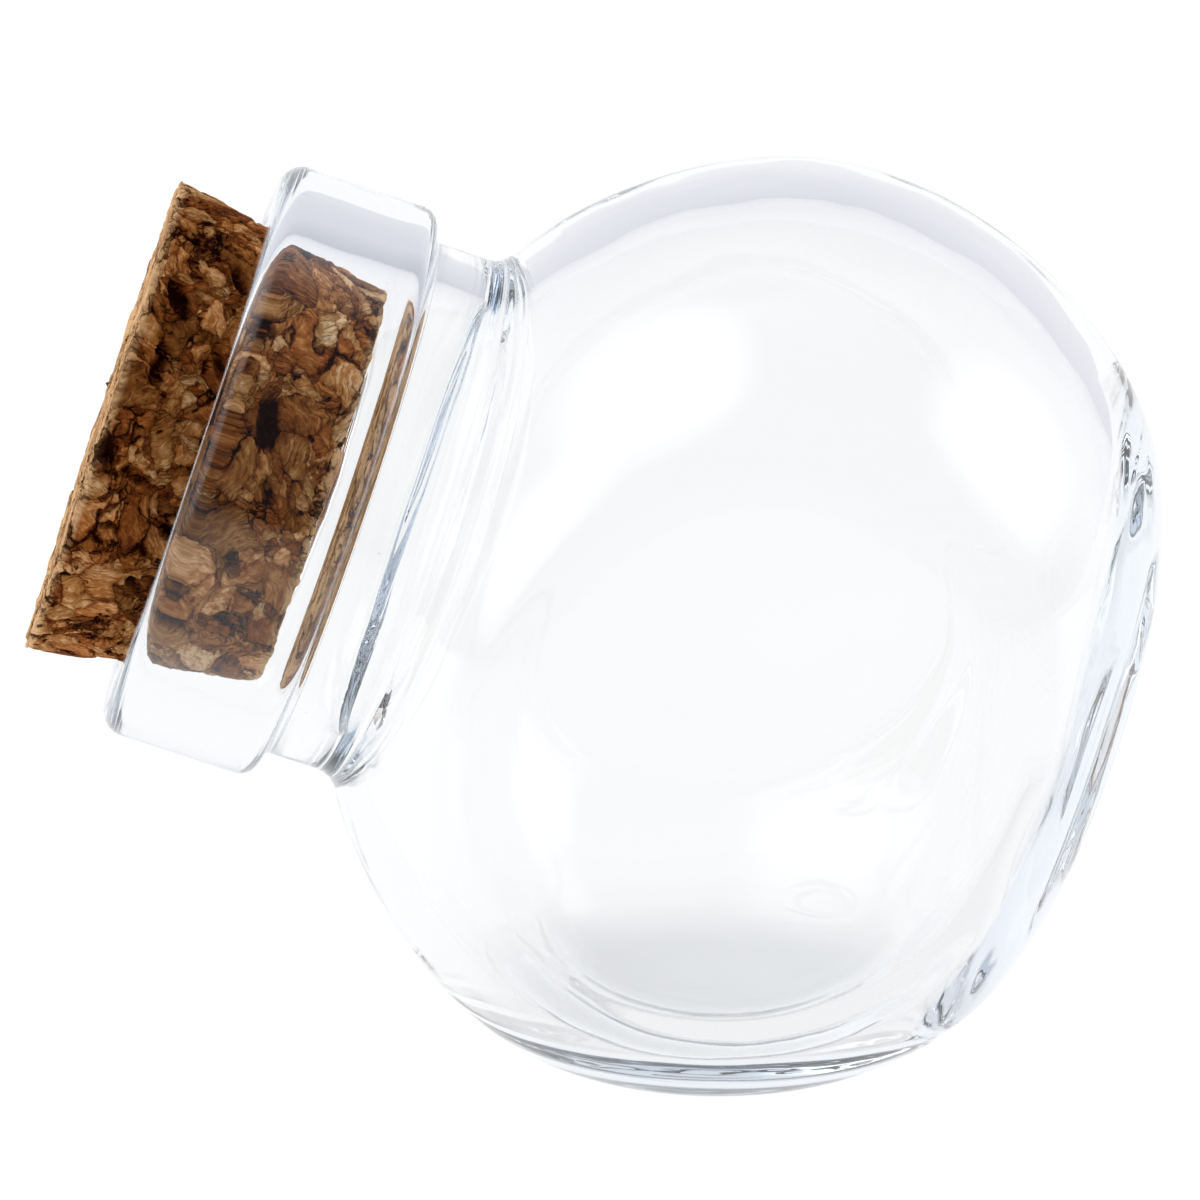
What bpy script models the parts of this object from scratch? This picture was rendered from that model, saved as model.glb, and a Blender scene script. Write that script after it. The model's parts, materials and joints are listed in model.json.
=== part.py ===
"""Round glass jar with a cork stopper.

A ball-shaped jar of pressed clear glass. It is turned about one axis, from a flat base, over
a round belly and shoulder, to a short neck with a thick bead round the mouth. Two flats, front
and back, cut the belly parallel to that axis, and a smaller flat foot lets the jar lie with its
mouth raised, which is how it stands here. A tapered cork closes the mouth and pulls out along
the jar's axis.

Metres, +Z up. The origin is on the table, under the middle of the part.
In the jar's own frame the axis is Z, with zero at the widest place and the mouth at the top.
"""

import math

import bmesh
import bpy
from mathutils import Matrix, Vector

# Glass jar: outer shape
BELLY_RADIUS = 0.04285
MOUTH_SIDE_ARC = 0.0290
MOUTH_SIDE_ANGLE = math.radians(25.2)
SHOULDER_ARC = 0.0402
BASE_SIDE_ARC = 0.0386
BASE_SIDE_ANGLE = math.radians(44.2)
HEEL_ARC = 0.0220
RIM_HEIGHT = 0.05105
NECK_RADIUS = 0.0240
NECK_FILLET = 0.0025
BEAD_RADIUS = 0.02665
BEAD_HEIGHT = 0.0145
RIM_ROUND = 0.0022
BEAD_ROUND = 0.0017
BEAD_UNDER_FILLET = 0.0008

# Glass jar: inner shape
SIDE_WALL = 0.0036
BASE_WALL = 0.0060
INNER_HEEL_ANGLE = math.radians(40)
MOUTH_RADIUS = 0.0207
MOUTH_ROUND = 0.0010
THROAT_FILLET = 0.0020

# Glass jar: the two flats and the foot that it lies on
FLAT_DISTANCE = 0.0335
FLAT_WALL = 0.0036
REST_HEIGHT = 0.0399
FOOT_WALL = 0.0070
MOUTH_RISE = math.radians(19.4)

# Cork stopper
CORK_LENGTH = 0.0205
CORK_PROUD = 0.0085
CORK_TAPER = math.radians(10)
CORK_EDGE = 0.0003
CORK_CLEARANCE = 0.0003

# Crevices where chips have torn out of the cork, cut as flat four-sided boats. Each row of shares
# gives one's place: its share of a turn from straight up, of the way from the cork's foot to its
# top, its slant as a share of a turn, and its share of the full size. Each is cut again across
# the cork, on its other side.
CREVICE_LENGTH = 0.0052
CREVICE_WIDTH = 0.0016
CREVICE_DEPTH = 0.0010
CREVICE_SHARES = (
    (-0.112, 0.85, 0.16, 1.0),
    (-0.222, 0.96, 0.17, 0.8),
    (-0.234, 0.78, 0.03, 0.8),
    (-0.146, 0.60, 0.17, 0.9),
    (-0.162, 0.85, 0.24, 0.9),
    (-0.074, 0.63, 0.17, 0.8),
    (-0.267, 0.87, 0.10, 0.6),
    (-0.268, 0.56, 0.05, 0.7),
    (-0.301, 0.91, 0.20, 0.5),
    (-0.011, 0.83, 0.08, 0.6),
    (-0.174, 0.34, 0.21, 1.2),
    (-0.219, 0.24, 0.15, 0.8),
    (-0.154, 0.20, 0.02, 0.6),
    (-0.066, 0.13, 0.00, 0.8),
    (-0.200, 0.50, 0.02, 0.8),
    (-0.112, 0.23, 0.12, 0.6),
    (-0.315, 0.64, 0.12, 0.7),
    (-0.270, 0.30, 0.18, 0.8),
    (-0.020, 0.40, 0.20, 0.8),
    (-0.330, 0.40, 0.06, 0.8),
)

# How finely the round shapes are cut, and how far a cutter runs past what it cuts
ROUND_SIDES = 48
ARC_STEP = math.radians(11)
CUT_OVERRUN = 0.0100

# Points nearer to each other than this are one point
SAME_POINT = CORK_CLEARANCE / ROUND_SIDES


def arc(centre, radius, start, end):
    """Points (radius, height) from one angle to another, measured up from straight outwards."""
    steps = max(2, math.ceil(abs(end - start) / ARC_STEP))
    angles = [start + (end - start) * step / steps for step in range(steps + 1)]
    return [(centre[0] + radius * math.cos(a), centre[1] + radius * math.sin(a)) for a in angles]


def inner_tangent_centre(centre, radius, inner_radius, angle):
    """Centre of a smaller arc that carries on from a larger one at an angle."""
    shift = radius - inner_radius
    return (centre[0] + shift * math.cos(angle), centre[1] + shift * math.sin(angle))


def without_repeats(points):
    """The same outline with each point that repeats the one before it left out."""
    kept = points[:1]
    for point in points[1:]:
        if math.dist(point, kept[-1]) > SAME_POINT:
            kept.append(point)
    return kept


# Arc centres of the belly, in the jar's own frame
MOUTH_SIDE_CENTRE = (BELLY_RADIUS - MOUTH_SIDE_ARC, 0)
SHOULDER_CENTRE = inner_tangent_centre(MOUTH_SIDE_CENTRE, MOUTH_SIDE_ARC, SHOULDER_ARC, MOUTH_SIDE_ANGLE)
BASE_SIDE_CENTRE = (BELLY_RADIUS - BASE_SIDE_ARC, 0)
HEEL_CENTRE = inner_tangent_centre(BASE_SIDE_CENTRE, BASE_SIDE_ARC, HEEL_ARC, -BASE_SIDE_ANGLE)
BASE_HEIGHT = HEEL_CENTRE[1] - HEEL_ARC


def outer_outline():
    """The glass from the middle of the base, up the outside, to the inner edge of the rim."""
    right_angle = math.pi / 2
    neck_reach = NECK_RADIUS + NECK_FILLET - SHOULDER_CENTRE[0]
    neck_angle = math.acos(neck_reach / (SHOULDER_ARC + NECK_FILLET))
    fillet_height = SHOULDER_CENTRE[1] + (SHOULDER_ARC + NECK_FILLET) * math.sin(neck_angle)
    bead_bottom = RIM_HEIGHT - BEAD_HEIGHT

    points = [(0, BASE_HEIGHT)]
    points += arc(HEEL_CENTRE, HEEL_ARC, -right_angle, -BASE_SIDE_ANGLE)
    points += arc(BASE_SIDE_CENTRE, BASE_SIDE_ARC, -BASE_SIDE_ANGLE, 0)
    points += arc(MOUTH_SIDE_CENTRE, MOUTH_SIDE_ARC, 0, MOUTH_SIDE_ANGLE)
    points += arc(SHOULDER_CENTRE, SHOULDER_ARC, MOUTH_SIDE_ANGLE, neck_angle)
    points += arc((NECK_RADIUS + NECK_FILLET, fillet_height), NECK_FILLET, math.pi + neck_angle, math.pi)
    points += arc(
        (NECK_RADIUS + BEAD_UNDER_FILLET, bead_bottom - BEAD_UNDER_FILLET),
        BEAD_UNDER_FILLET, math.pi, right_angle)
    points += arc(
        (BEAD_RADIUS - BEAD_ROUND, bead_bottom + BEAD_ROUND), BEAD_ROUND, -right_angle, 0)
    points += arc((BEAD_RADIUS - RIM_ROUND, RIM_HEIGHT - RIM_ROUND), RIM_ROUND, 0, right_angle)
    points.append((0, RIM_HEIGHT))
    return without_repeats(points)


def cavity_outline():
    """The hollow from the middle of its floor to above the rim, where it cuts the mouth open."""
    right_angle = math.pi / 2
    base_side = BASE_SIDE_ARC - SIDE_WALL
    depth = -BASE_HEIGHT - BASE_WALL
    sine = math.sin(INNER_HEEL_ANGLE)
    heel = (depth - base_side * sine) / (1 - sine)
    heel_centre = inner_tangent_centre(BASE_SIDE_CENTRE, base_side, heel, -INNER_HEEL_ANGLE)
    shoulder = SHOULDER_ARC - SIDE_WALL
    throat_reach = MOUTH_RADIUS + THROAT_FILLET - SHOULDER_CENTRE[0]
    throat_angle = math.acos(throat_reach / (shoulder + THROAT_FILLET))
    throat_height = SHOULDER_CENTRE[1] + (shoulder + THROAT_FILLET) * math.sin(throat_angle)

    points = [(0, BASE_HEIGHT + BASE_WALL)]
    points += arc(heel_centre, heel, -right_angle, -INNER_HEEL_ANGLE)
    points += arc(BASE_SIDE_CENTRE, base_side, -INNER_HEEL_ANGLE, 0)
    points += arc(MOUTH_SIDE_CENTRE, MOUTH_SIDE_ARC - SIDE_WALL, 0, MOUTH_SIDE_ANGLE)
    points += arc(SHOULDER_CENTRE, shoulder, MOUTH_SIDE_ANGLE, throat_angle)
    points += arc(
        (MOUTH_RADIUS + THROAT_FILLET, throat_height), THROAT_FILLET, math.pi + throat_angle, math.pi)
    points += arc(
        (MOUTH_RADIUS + MOUTH_ROUND, RIM_HEIGHT - MOUTH_ROUND), MOUTH_ROUND, math.pi, right_angle)
    points.append((MOUTH_RADIUS + MOUTH_ROUND, RIM_HEIGHT + CUT_OVERRUN))
    points.append((0, RIM_HEIGHT + CUT_OVERRUN))
    return without_repeats(points)


def cork_radius(height):
    """How wide the cork is at a height, seated on the rounded edge of the mouth."""
    lip_radius = MOUTH_RADIUS + MOUTH_ROUND - (MOUTH_ROUND + CORK_CLEARANCE) / math.cos(CORK_TAPER)
    return lip_radius + (height - RIM_HEIGHT + MOUTH_ROUND) * math.tan(CORK_TAPER)


def cork_outline():
    """The tapered cork from the middle of its foot to the middle of its top."""
    top = RIM_HEIGHT + CORK_PROUD
    foot = top - CORK_LENGTH
    return [
        (0, foot),
        (cork_radius(foot) - CORK_EDGE, foot),
        (cork_radius(foot + CORK_EDGE), foot + CORK_EDGE),
        (cork_radius(top - CORK_EDGE), top - CORK_EDGE),
        (cork_radius(top) - CORK_EDGE, top),
        (0, top),
    ]


def material(name, colour, roughness, transmission):
    """A plain Principled material; neither piece is metal."""
    made = bpy.data.materials.new(name)
    made.use_nodes = True
    made.diffuse_color = colour
    shader = made.node_tree.nodes["Principled BSDF"]
    shader.inputs["Base Color"].default_value = colour
    shader.inputs["Roughness"].default_value = roughness
    shader.inputs["Metallic"].default_value = 0
    shader.inputs["Transmission Weight"].default_value = transmission
    return made


def turned(name, outline, parent):
    """A solid turned about Z from an outline that starts and ends on the axis, bottom to top."""
    mesh = bpy.data.meshes.new(name)
    bm = bmesh.new()
    profile = [bm.verts.new((radius, 0, height)) for radius, height in outline]
    edges = [bm.edges.new(pair) for pair in zip(profile, profile[1:])]
    bmesh.ops.spin(
        bm, geom=profile + edges, cent=Vector(), axis=Vector((0, 0, 1)),
        angle=2 * math.pi, steps=ROUND_SIDES, use_merge=True)
    bmesh.ops.remove_doubles(bm, verts=bm.verts, dist=SAME_POINT)
    bmesh.ops.recalc_face_normals(bm, faces=bm.faces)
    bm.to_mesh(mesh)
    bm.free()
    mesh.shade_smooth()
    mesh.set_sharp_from_angle(angle=2 * ARC_STEP)
    made = bpy.data.objects.new(name, mesh)
    bpy.context.collection.objects.link(made)
    made.parent = parent
    return made


def as_cutter(made):
    """Keep an object as a cutting tool only."""
    made.hide_render = True
    made.display_type = "WIRE"
    return made


def block(name, low, high):
    """A cutting block between two corners."""
    mesh = bpy.data.meshes.new(name)
    bm = bmesh.new()
    size = Vector(high) - Vector(low)
    middle = (Vector(high) + Vector(low)) / 2
    bmesh.ops.create_cube(bm, size=1, matrix=Matrix.Translation(middle) @ Matrix.Diagonal((*size, 1)))
    bm.to_mesh(mesh)
    bm.free()
    made = bpy.data.objects.new(name, mesh)
    bpy.context.collection.objects.link(made)
    return as_cutter(made)


def cut(target, cutter):
    """Take a cutter's volume away from an object."""
    boolean = target.modifiers.new(cutter.name, "BOOLEAN")
    boolean.operation = "DIFFERENCE"
    boolean.solver = "EXACT"
    boolean.object = cutter


def cut_flats(target, prefix, flat_distance, floor_height):
    """Cut an upright flat in front and one behind, and a level flat below."""
    reach = RIM_HEIGHT + CORK_PROUD + BELLY_RADIUS + CUT_OVERRUN
    top = REST_HEIGHT + reach
    cut(target, block(prefix + "_front_cut", (-reach, -reach, -reach), (reach, -flat_distance, top)))
    cut(target, block(prefix + "_back_cut", (-reach, flat_distance, -reach), (reach, reach, top)))
    cut(target, block(prefix + "_foot_cut", (-reach, -reach, -reach), (reach, reach, floor_height)))


def rest_frame():
    """An empty at the belly's middle, with Z towards the mouth, over the middle of the part."""
    cosine, sine = math.cos(MOUTH_RISE), math.sin(MOUTH_RISE)
    reach_right = max(radius * sine - height * cosine for radius, height in outer_outline())
    reach_left = max(radius * sine + height * cosine for radius, height in cork_outline())
    frame = bpy.data.objects.new("rest_frame", None)
    bpy.context.collection.objects.link(frame)
    frame.location = ((reach_left - reach_right) / 2, 0, REST_HEIGHT)
    frame.rotation_euler = (0, MOUTH_RISE - math.pi / 2, 0)
    return frame


def glass_jar(frame):
    """The pressed glass: the turned outside, its flats and foot, and the hollow inside."""
    cavity = as_cutter(turned("cavity", cavity_outline(), frame))
    cut_flats(cavity, "cavity", FLAT_DISTANCE - FLAT_WALL, FOOT_WALL)
    jar = turned("glass_jar", outer_outline(), frame)
    cut_flats(jar, "jar", FLAT_DISTANCE, 0)
    cut(jar, cavity)
    jar.data.materials.append(material("clear_glass", (0.93, 0.96, 0.97, 1), 0.02, 1))
    return jar


def add_boat(bm, turn, height, slant, size_share):
    """One crevice's cutting shape: four sides, pointed at its ends and at its bottom and top."""
    place = Matrix.Rotation(turn, 4, "Z") @ Matrix.Translation((cork_radius(height), 0, height))
    place = place @ Matrix.Rotation(-slant, 4, "X") @ Matrix.Scale(size_share, 4)
    bottom, top = (bm.verts.new(place @ Vector((x, 0, 0))) for x in (-CREVICE_DEPTH, CREVICE_DEPTH))
    round_it = [
        bm.verts.new(place @ Vector(corner)) for corner in (
            (0, 0, CREVICE_LENGTH / 2), (0, CREVICE_WIDTH / 2, 0),
            (0, 0, -CREVICE_LENGTH / 2), (0, -CREVICE_WIDTH / 2, 0))]
    for first, second in zip(round_it, round_it[1:] + round_it[:1]):
        bm.faces.new((first, second, top))
        bm.faces.new((second, first, bottom))


def crevices(frame):
    """The cutting shapes of all crevices as one mesh."""
    mesh = bpy.data.meshes.new("crevices")
    bm = bmesh.new()
    whole_turn = 2 * math.pi
    foot = RIM_HEIGHT + CORK_PROUD - CORK_LENGTH
    for across in (0, whole_turn / 2):
        for turn_share, height_share, slant_share, size_share in CREVICE_SHARES:
            add_boat(
                bm, across + turn_share * whole_turn, foot + height_share * CORK_LENGTH,
                slant_share * whole_turn, size_share)
    bmesh.ops.recalc_face_normals(bm, faces=bm.faces)
    bm.to_mesh(mesh)
    bm.free()
    made = bpy.data.objects.new("crevices", mesh)
    bpy.context.collection.objects.link(made)
    made.parent = frame
    return as_cutter(made)


def cork_stopper(frame):
    """The cork, with its origin on the axis that it slides along."""
    cork = turned("cork_stopper", cork_outline(), frame)
    cut(cork, crevices(frame))
    cork.data.materials.append(material("pressed_cork", (0.34, 0.18, 0.08, 1), 0.85, 0))
    return cork


def main():
    for old in list(bpy.data.objects):
        bpy.data.objects.remove(old, do_unlink=True)
    frame = rest_frame()
    glass_jar(frame)
    cork_stopper(frame)
    bpy.context.view_layer.update()


main()
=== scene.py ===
"""Round glass jar with a cork stopper, dressed on a white studio table.

The glass is turned from two outlines, one outside and one inside, pressed flat in front, behind
and below, and given the slight unevenness of pressed glass. The cork is turned, worn at its
edges and cut with the crevices of pressed cork chips.

Metres, +Z up. In the jar's own frame the axis is Z, with zero at the widest place and the mouth
at the top; laid_down takes a piece from there to where the jar lies on the table.
"""

import json
import math

import bpy
from bpy.props import FloatProperty, FloatVectorProperty, PointerProperty
from mathutils import Euler, Matrix, Vector


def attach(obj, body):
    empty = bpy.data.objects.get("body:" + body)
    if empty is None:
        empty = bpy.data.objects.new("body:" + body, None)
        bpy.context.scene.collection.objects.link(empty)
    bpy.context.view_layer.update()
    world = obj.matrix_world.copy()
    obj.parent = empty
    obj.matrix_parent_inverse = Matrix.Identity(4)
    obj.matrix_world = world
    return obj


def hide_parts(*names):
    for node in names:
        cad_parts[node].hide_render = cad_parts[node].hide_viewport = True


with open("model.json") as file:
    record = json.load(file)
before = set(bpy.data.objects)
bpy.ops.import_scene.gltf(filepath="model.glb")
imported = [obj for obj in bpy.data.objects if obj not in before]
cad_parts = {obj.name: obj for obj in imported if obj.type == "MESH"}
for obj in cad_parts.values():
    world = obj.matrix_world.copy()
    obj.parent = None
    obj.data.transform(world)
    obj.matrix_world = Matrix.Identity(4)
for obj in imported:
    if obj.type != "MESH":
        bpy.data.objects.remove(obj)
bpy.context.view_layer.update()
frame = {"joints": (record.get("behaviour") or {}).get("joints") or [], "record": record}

bl_info = {
    "name": "Round glass jar",
    "version": (1, 0, 0),
    "blender": (4, 5, 0),
    "location": "View3D > Sidebar > Round jar",
    "description": "Makes a corked round glass jar and the white studio that it stands in",
    "category": "Object",
}

MOUNTS = {mount["name"]: mount for mount in frame["record"]["mounts"]}
UPWARDS = Vector(frame["joints"][0]["axis"]).normalized()
MOUTH_RISE = math.asin(UPWARDS.z)
FLAT_DISTANCE = abs(MOUNTS["front_flat"]["pos_m"][1])
BELLY_CENTRE = Vector(MOUNTS["front_flat"]["pos_m"]) * Vector((1, 0, 1))

# Outside of the glass
BELLY_RADIUS = 0.04285
MOUTH_SIDE_ARC = 0.0290
MOUTH_SIDE_ANGLE = math.radians(25.2)
SHOULDER_ARC = 0.0402
BASE_SIDE_ARC = 0.0386
BASE_SIDE_ANGLE = math.radians(44.2)
HEEL_ARC = 0.0220
RIM_HEIGHT = 0.05105
NECK_RADIUS = 0.0240
NECK_FILLET = 0.0025
BEAD_RADIUS = 0.02665
BEAD_HEIGHT = 0.0145
RIM_ROUND = 0.0022
BEAD_ROUND = 0.0017
BEAD_UNDER_FILLET = 0.0008

# Inside of the glass
INNER_HEEL_ANGLE = math.radians(40)
MOUTH_RADIUS = 0.0207
MOUTH_ROUND = 0.0010
THROAT_FILLET = 0.0020

# Cork
CORK_LENGTH = 0.0205
CORK_PROUD = 0.0085
CORK_TAPER = math.radians(10)
CORK_CLEARANCE = 0.0003

# Crevices where chips have torn out of the cork. Each row of shares gives one's place: its share of
# a turn from straight up, of the way from the cork's foot to its top, its slant as a share of a
# turn, and its share of the full size
CREVICE_LENGTH = 0.0052
CREVICE_WIDTH = 0.0016
CREVICE_DEPTH = 0.0010
CREVICE_SHARES = (
    (-0.112, 0.85, 0.16, 1.0),
    (-0.222, 0.96, 0.17, 0.8),
    (-0.234, 0.78, 0.03, 0.8),
    (-0.146, 0.60, 0.17, 0.9),
    (-0.162, 0.85, 0.24, 0.9),
    (-0.074, 0.63, 0.17, 0.8),
    (-0.267, 0.87, 0.10, 0.6),
    (-0.268, 0.56, 0.05, 0.7),
    (-0.301, 0.91, 0.20, 0.5),
    (-0.011, 0.83, 0.08, 0.6),
    (-0.174, 0.34, 0.21, 1.2),
    (-0.219, 0.24, 0.15, 0.8),
    (-0.154, 0.20, 0.02, 0.6),
    (-0.066, 0.13, 0.00, 0.8),
    (-0.200, 0.50, 0.02, 0.8),
    (-0.112, 0.23, 0.12, 0.6),
    (-0.315, 0.64, 0.12, 0.7),
    (-0.270, 0.30, 0.18, 0.8),
    (-0.020, 0.40, 0.20, 0.8),
    (-0.330, 0.40, 0.06, 0.8),
)

# Unevenness of the glass: how wide its swellings are and where in the noise they start, outside and
# inside, and how far above the table they fade in
RIPPLE_SIZE = 0.016
RIPPLE_START = Vector((0.3, 0.1, 0.2))
INNER_RIPPLE_SIZE = 0.011
INNER_RIPPLE_START = Vector((0.7, 0.9, 0.4))
RIPPLE_FADE = 0.004

# Fineness of the meshes
TURN_STEPS = 256
FEWEST_ARC_STEPS = 4
OUTLINE_STEP = 0.0007
FLAT_STEP = 0.0014
CORK_TURN_STEPS = 96
CORK_VOXEL = 0.00032
SAME_POINT = 0.00001

RIGHT_ANGLE = math.pi / 2

# The middle of what a noise texture gives, and where most of it lies
NOISE_MIDDLE = 0.5
NOISE_SPAN = (0.25, 0.75)


def arc(centre, radius, start, end):
    """Points (radius, height) from one angle to another, measured up from straight outwards."""
    steps = max(FEWEST_ARC_STEPS, math.ceil(abs(end - start) * radius / OUTLINE_STEP))
    angles = [start + (end - start) * step / steps for step in range(steps + 1)]
    return [(centre[0] + radius * math.cos(a), centre[1] + radius * math.sin(a)) for a in angles]


def straight(start, end, spacing=FLAT_STEP):
    """Points (radius, height) along a straight stretch, its end left out."""
    steps = max(1, round(math.dist(start, end) / spacing))
    return [
        tuple(a + (b - a) * step / steps for a, b in zip(start, end)) for step in range(steps)]


def inner_tangent_centre(centre, radius, inner_radius, angle):
    """Centre of a smaller arc that carries on from a larger one at an angle."""
    shift = radius - inner_radius
    return (centre[0] + shift * math.cos(angle), centre[1] + shift * math.sin(angle))


def filled(stretches):
    """One outline through several stretches, with points put in wherever two lie far apart."""
    points = [stretches[0][0]]
    for point in (point for stretch in stretches for point in stretch):
        gap = math.dist(points[-1], point)
        if gap > 2 * FLAT_STEP:
            points += straight(points[-1], point)[1:]
        if gap > SAME_POINT:
            points.append(point)
    return points


MOUTH_SIDE_CENTRE = (BELLY_RADIUS - MOUTH_SIDE_ARC, 0)
SHOULDER_CENTRE = inner_tangent_centre(
    MOUTH_SIDE_CENTRE, MOUTH_SIDE_ARC, SHOULDER_ARC, MOUTH_SIDE_ANGLE)
BASE_SIDE_CENTRE = (BELLY_RADIUS - BASE_SIDE_ARC, 0)
HEEL_CENTRE = inner_tangent_centre(BASE_SIDE_CENTRE, BASE_SIDE_ARC, HEEL_ARC, -BASE_SIDE_ANGLE)
BASE_HEIGHT = HEEL_CENTRE[1] - HEEL_ARC


def outer_outline():
    """The glass from the middle of the base, up the outside, to the inner edge of the rim."""
    neck_reach = NECK_RADIUS + NECK_FILLET - SHOULDER_CENTRE[0]
    neck_angle = math.acos(neck_reach / (SHOULDER_ARC + NECK_FILLET))
    fillet_height = SHOULDER_CENTRE[1] + (SHOULDER_ARC + NECK_FILLET) * math.sin(neck_angle)
    bead_bottom = RIM_HEIGHT - BEAD_HEIGHT
    under = (NECK_RADIUS + BEAD_UNDER_FILLET, bead_bottom - BEAD_UNDER_FILLET)
    low_round = (BEAD_RADIUS - BEAD_ROUND, bead_bottom + BEAD_ROUND)
    high_round = (BEAD_RADIUS - RIM_ROUND, RIM_HEIGHT - RIM_ROUND)
    return filled([
        [(0, BASE_HEIGHT)],
        arc(HEEL_CENTRE, HEEL_ARC, -RIGHT_ANGLE, -BASE_SIDE_ANGLE),
        arc(BASE_SIDE_CENTRE, BASE_SIDE_ARC, -BASE_SIDE_ANGLE, 0),
        arc(MOUTH_SIDE_CENTRE, MOUTH_SIDE_ARC, 0, MOUTH_SIDE_ANGLE),
        arc(SHOULDER_CENTRE, SHOULDER_ARC, MOUTH_SIDE_ANGLE, neck_angle),
        arc((NECK_RADIUS + NECK_FILLET, fillet_height), NECK_FILLET, math.pi + neck_angle, math.pi),
        arc(under, BEAD_UNDER_FILLET, math.pi, RIGHT_ANGLE),
        arc(low_round, BEAD_ROUND, -RIGHT_ANGLE, 0),
        arc(high_round, RIM_ROUND, 0, RIGHT_ANGLE),
        [(MOUTH_RADIUS + MOUTH_ROUND, RIM_HEIGHT)],
    ])


def inner_outline(side_wall, base_wall):
    """The hollow from the middle of its floor, up its side, to the inner edge of the rim."""
    base_side = BASE_SIDE_ARC - side_wall
    depth = -BASE_HEIGHT - base_wall
    sine = math.sin(INNER_HEEL_ANGLE)
    heel = (depth - base_side * sine) / (1 - sine)
    heel_centre = inner_tangent_centre(BASE_SIDE_CENTRE, base_side, heel, -INNER_HEEL_ANGLE)
    shoulder = SHOULDER_ARC - side_wall
    throat_reach = MOUTH_RADIUS + THROAT_FILLET - SHOULDER_CENTRE[0]
    throat_angle = math.acos(throat_reach / (shoulder + THROAT_FILLET))
    throat_height = SHOULDER_CENTRE[1] + (shoulder + THROAT_FILLET) * math.sin(throat_angle)
    throat = (MOUTH_RADIUS + THROAT_FILLET, throat_height)
    lip = (MOUTH_RADIUS + MOUTH_ROUND, RIM_HEIGHT - MOUTH_ROUND)
    return filled([
        [(0, BASE_HEIGHT + base_wall)],
        arc(heel_centre, heel, -RIGHT_ANGLE, -INNER_HEEL_ANGLE),
        arc(BASE_SIDE_CENTRE, base_side, -INNER_HEEL_ANGLE, 0),
        arc(MOUTH_SIDE_CENTRE, MOUTH_SIDE_ARC - side_wall, 0, MOUTH_SIDE_ANGLE),
        arc(SHOULDER_CENTRE, shoulder, MOUTH_SIDE_ANGLE, throat_angle),
        arc(throat, THROAT_FILLET, math.pi + throat_angle, math.pi),
        arc(lip, MOUTH_ROUND, math.pi, RIGHT_ANGLE),
    ])


def cork_radius(height):
    """How wide the cork is at a height in the jar's own frame."""
    lip_radius = MOUTH_RADIUS + MOUTH_ROUND - (MOUTH_ROUND + CORK_CLEARANCE) / math.cos(CORK_TAPER)
    return lip_radius + (height - RIM_HEIGHT + MOUTH_ROUND) * math.tan(CORK_TAPER)


def cork_outline(edge):
    """The cork from the middle of its foot to the middle of its top, its edges rounded."""
    top = RIM_HEIGHT + CORK_PROUD
    foot = top - CORK_LENGTH
    high = (cork_radius(top) - edge, top - edge)
    low = (cork_radius(foot) - edge, foot + edge)
    return filled([
        [(0, foot)],
        arc(low, edge, -RIGHT_ANGLE, 0),
        arc(high, edge, 0, RIGHT_ANGLE),
        [(0, top)],
    ])


def add_node(tree, kind, inputs=(), **options):
    """A node with its options set, and its inputs, by name or number, set or linked."""
    made = tree.nodes.new(kind)
    for option, value in options.items():
        setattr(made, option, value)
    for name, value in dict(inputs).items():
        if isinstance(value, bpy.types.NodeSocket):
            tree.links.new(value, made.inputs[name])
        else:
            made.inputs[name].default_value = value
    return made


def maths(tree, operation, *values, clamp=False):
    """The result of a Math node on up to three numbers or sockets."""
    return add_node(
        tree, "ShaderNodeMath", enumerate(values), operation=operation, use_clamp=clamp).outputs[0]


def vectors(tree, operation, *values):
    """The vector from a Vector Math node on up to three vectors or sockets."""
    return add_node(
        tree, "ShaderNodeVectorMath", enumerate(values), operation=operation).outputs["Vector"]


def scaled(tree, vector, factor):
    """A vector times a number or socket."""
    inputs = {"Vector": vector, "Scale": factor}
    return add_node(tree, "ShaderNodeVectorMath", inputs, operation="SCALE").outputs["Vector"]


def dot(tree, first, second):
    """How far one vector reaches along another."""
    made = add_node(
        tree, "ShaderNodeVectorMath", enumerate((first, second)), operation="DOT_PRODUCT")
    return made.outputs["Value"]


def ramped(tree, value, low, high, to_low=0.0, to_high=1.0):
    """A number turned smoothly from one range into another, and held at its ends."""
    inputs = {
        "Value": value, "From Min": low, "From Max": high, "To Min": to_low, "To Max": to_high}
    made = add_node(tree, "ShaderNodeMapRange", inputs, interpolation_type="SMOOTHSTEP")
    return made.outputs["Result"]


def blended(tree, factor, first, second, blend="MIX"):
    """Two colours mixed by a factor."""
    inputs = {0: factor, 6: first, 7: second}
    return add_node(
        tree, "ShaderNodeMix", inputs, data_type="RGBA", blend_type=blend).outputs[2]


def between(tree, factor, first, second):
    """Two numbers mixed by a factor."""
    inputs = {0: factor, 2: first, 3: second}
    return add_node(tree, "ShaderNodeMix", inputs, data_type="FLOAT").outputs[0]


def part_of(tree, vector, axis):
    """How far a vector reaches along X, Y or Z."""
    return add_node(tree, "ShaderNodeSeparateXYZ", {"Vector": vector}).outputs[axis]


def noise(tree, place, size, detail=2.0, roughness=0.5, output="Fac"):
    """Soft noise with lumps of a real size."""
    inputs = {"Vector": place, "Scale": 1 / size, "Detail": detail, "Roughness": roughness}
    return add_node(tree, "ShaderNodeTexNoise", inputs).outputs[output]


def cells(tree, place, size, feature="F1"):
    """Voronoi cells of a real size: the node itself."""
    inputs = {"Vector": place, "Scale": 1 / size}
    return add_node(tree, "ShaderNodeTexVoronoi", inputs, feature=feature)


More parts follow.
